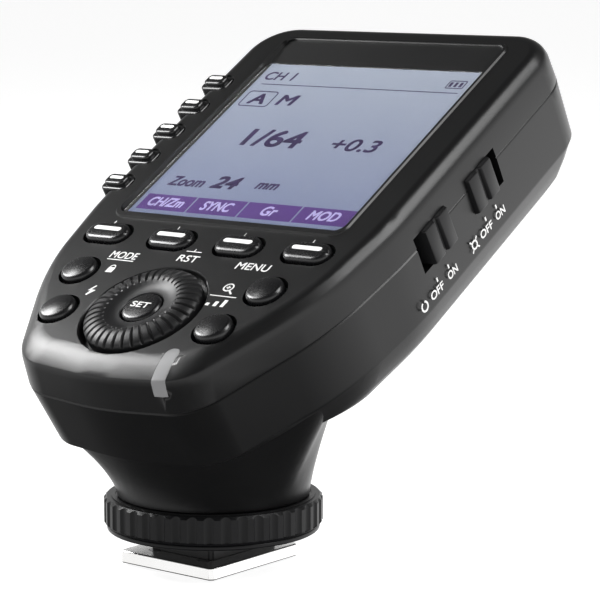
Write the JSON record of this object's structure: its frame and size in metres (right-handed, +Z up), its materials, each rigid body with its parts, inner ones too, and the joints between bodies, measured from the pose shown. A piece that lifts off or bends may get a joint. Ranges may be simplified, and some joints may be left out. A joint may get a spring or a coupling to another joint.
{
  "type": "wireless flash trigger",
  "caption": "Radio flash trigger: a tilted control head with a display, side keys, dial and switches on a hot-shoe foot with a knurled lock ring.",
  "frame": {"origin": "centre of the foot plate's underside, where it slides into a camera's hot shoe", "axes": "+Z up along the foot's axis; the user stands on the -Y side and +Y points at the subject; +X to the user's right"},
  "size_m": [0.0614, 0.0848, 0.0787],
  "materials": {
    "shell_plastic": "fine spark-eroded texture",
    "window_glass": "clear, hard-coated",
    "display": "backlit liquid-crystal panel",
    "backlight": "white light guide",
    "button_rubber": "smooth semi-gloss",
    "dial_plastic": "semi-gloss",
    "lamp_lens": "frosted light pipe",
    "assist_red": "translucent red",
    "board": "solder mask",
    "black_plastic": "moulded",
    "steel": "plain",
    "plated": "bright nickel",
    "gold": "gold plated",
    "cell_jacket": "printed can",
    "seal_rubber": "matt",
    "ring_plastic": "satin"
  },
  "bodies": {
    "body": {"front_shell": "shell_plastic", "status_lamp": "lamp_lens", "rear_shell": "shell_plastic", "display_window": "window_glass", "display_panel": "display", "display_backlight": "backlight", "dial_encoder": "black_plastic", "key_domes": "steel", "main_board": "board", "radio_module": "steel", "power_switch_body": "black_plastic", "assist_switch_body": "black_plastic", "sync_jack": "black_plastic", "data_port": "steel", "cover_pin": "steel", "door_hinge_pin": "steel", "battery_cells": "cell_jacket", "battery_contacts": "plated", "shell_screws": "steel", "neck": "shell_plastic", "assist_housing": "shell_plastic", "assist_lens": "assist_red", "assist_lamp": "assist_red", "foot_base": "black_plastic", "shoe_plate": "plated", "contact_pad": "black_plastic", "shoe_contacts": "gold", "shoe_screws": "steel"},
    "function_button_1": {"function_button_1": "button_rubber"},
    "function_button_2": {"function_button_2": "button_rubber"},
    "function_button_3": {"function_button_3": "button_rubber"},
    "function_button_4": {"function_button_4": "button_rubber"},
    "mode_button": {"mode_button": "button_rubber"},
    "test_button": {"test_button": "button_rubber"},
    "menu_button": {"menu_button": "button_rubber"},
    "zoom_button": {"zoom_button": "button_rubber"},
    "set_button": {"set_button": "button_rubber"},
    "group_button_a": {"group_button_a": "button_rubber"},
    "group_button_b": {"group_button_b": "button_rubber"},
    "group_button_c": {"group_button_c": "button_rubber"},
    "group_button_d": {"group_button_d": "button_rubber"},
    "group_button_e": {"group_button_e": "button_rubber"},
    "dial": {"select_dial": "dial_plastic", "dial_clip": "steel"},
    "power_switch": {"power_switch": "black_plastic"},
    "assist_switch": {"assist_switch": "black_plastic"},
    "port_cover": {"port_cover": "seal_rubber"},
    "battery_door": {"battery_door": "shell_plastic"},
    "battery_latch": {"battery_latch": "black_plastic"},
    "clamp_plate": {"clamp_plate": "ring_plastic"},
    "lock_ring": {"lock_ring": "ring_plastic"},
    "lock_pin": {"lock_pin": "steel"}
  },
  "joints": [
    {"name": "function_button_1_press", "type": "slide", "parent": "body", "child": "function_button_1", "axis": [0, 0.5165, -0.8563], "range_m": [0, 0.0004], "stiffness_N_per_m": 1200, "springref_m": -0.0004},
    {"name": "function_button_2_press", "type": "slide", "parent": "body", "child": "function_button_2", "axis": [0, 0.5165, -0.8563], "range_m": [0, 0.0004], "stiffness_N_per_m": 1200, "springref_m": -0.0004},
    {"name": "function_button_3_press", "type": "slide", "parent": "body", "child": "function_button_3", "axis": [0, 0.5165, -0.8563], "range_m": [0, 0.0004], "stiffness_N_per_m": 1200, "springref_m": -0.0004},
    {"name": "function_button_4_press", "type": "slide", "parent": "body", "child": "function_button_4", "axis": [0, 0.5165, -0.8563], "range_m": [0, 0.0004], "stiffness_N_per_m": 1200, "springref_m": -0.0004},
    {"name": "mode_button_press", "type": "slide", "parent": "body", "child": "mode_button", "axis": [0, 0.5165, -0.8563], "range_m": [0, 0.0004], "stiffness_N_per_m": 1200, "springref_m": -0.0004},
    {"name": "test_button_press", "type": "slide", "parent": "body", "child": "test_button", "axis": [0, 0.5165, -0.8563], "range_m": [0, 0.0004], "stiffness_N_per_m": 1200, "springref_m": -0.0004},
    {"name": "menu_button_press", "type": "slide", "parent": "body", "child": "menu_button", "axis": [0, 0.5165, -0.8563], "range_m": [0, 0.0004], "stiffness_N_per_m": 1200, "springref_m": -0.0004},
    {"name": "zoom_button_press", "type": "slide", "parent": "body", "child": "zoom_button", "axis": [0, 0.5165, -0.8563], "range_m": [0, 0.0004], "stiffness_N_per_m": 1200, "springref_m": -0.0004},
    {"name": "set_button_press", "type": "slide", "parent": "body", "child": "set_button", "axis": [0, 0.5165, -0.8563], "range_m": [0, 0.0004], "stiffness_N_per_m": 1200, "springref_m": -0.0004},
    {"name": "group_button_a_press", "type": "slide", "parent": "body", "child": "group_button_a", "axis": [0, 0.5165, -0.8563], "range_m": [0, 0.0004], "stiffness_N_per_m": 1200, "springref_m": -0.0004},
    {"name": "group_button_b_press", "type": "slide", "parent": "body", "child": "group_button_b", "axis": [0, 0.5165, -0.8563], "range_m": [0, 0.0004], "stiffness_N_per_m": 1200, "springref_m": -0.0004},
    {"name": "group_button_c_press", "type": "slide", "parent": "body", "child": "group_button_c", "axis": [0, 0.5165, -0.8563], "range_m": [0, 0.0004], "stiffness_N_per_m": 1200, "springref_m": -0.0004},
    {"name": "group_button_d_press", "type": "slide", "parent": "body", "child": "group_button_d", "axis": [0, 0.5165, -0.8563], "range_m": [0, 0.0004], "stiffness_N_per_m": 1200, "springref_m": -0.0004},
    {"name": "group_button_e_press", "type": "slide", "parent": "body", "child": "group_button_e", "axis": [0, 0.5165, -0.8563], "range_m": [0, 0.0004], "stiffness_N_per_m": 1200, "springref_m": -0.0004},
    {"name": "dial_turn", "type": "hinge", "parent": "body", "child": "dial", "pos_m": [0, -0.01465, 0.04037], "axis": [0, -0.5165, 0.8563], "continuous": true},
    {"name": "power_switch_slide", "type": "slide", "parent": "body", "child": "power_switch", "axis": [0, -0.8563, -0.5165], "range_m": [0, 0.002]},
    {"name": "assist_switch_slide", "type": "slide", "parent": "body", "child": "assist_switch", "axis": [0, 0.8563, 0.5165], "range_m": [0, 0.002]},
    {"name": "port_cover_hinge", "type": "hinge", "parent": "body", "child": "port_cover", "pos_m": [-0.02925, 0.02498, 0.04728], "axis": [0, -0.8563, -0.5165], "range_deg": [0, 110]},
    {"name": "battery_door_hinge", "type": "hinge", "parent": "body", "child": "battery_door", "pos_m": [0, 0.04982, 0.05158], "axis": [1, 0, 0], "range_deg": [0, 100]},
    {"name": "battery_latch_slide", "type": "slide", "parent": "battery_door", "child": "battery_latch", "axis": [0, 0.8563, 0.5165], "range_m": [0, 0.0015]},
    {"name": "clamp_slide", "type": "slide", "parent": "body", "child": "clamp_plate", "axis": [0, 0, -1], "range_m": [0, 0.001]},
    {"name": "lock_ring_turn", "type": "hinge", "parent": "clamp_plate", "child": "lock_ring", "pos_m": [0, 0.001, 0.008], "axis": [0, 0, -1], "range_deg": [0, 90]},
    {"name": "lock_pin_slide", "type": "slide", "parent": "body", "child": "lock_pin", "axis": [0, 0, -1], "range_m": [0, 0.0012]}
  ],
  "couplings": [
    {"joint": "lock_ring_turn", "follows": "clamp_slide", "rad_per_m": 1570},
    {"joint": "lock_pin_slide", "follows": "clamp_slide", "ratio": 1.19}
  ]
}
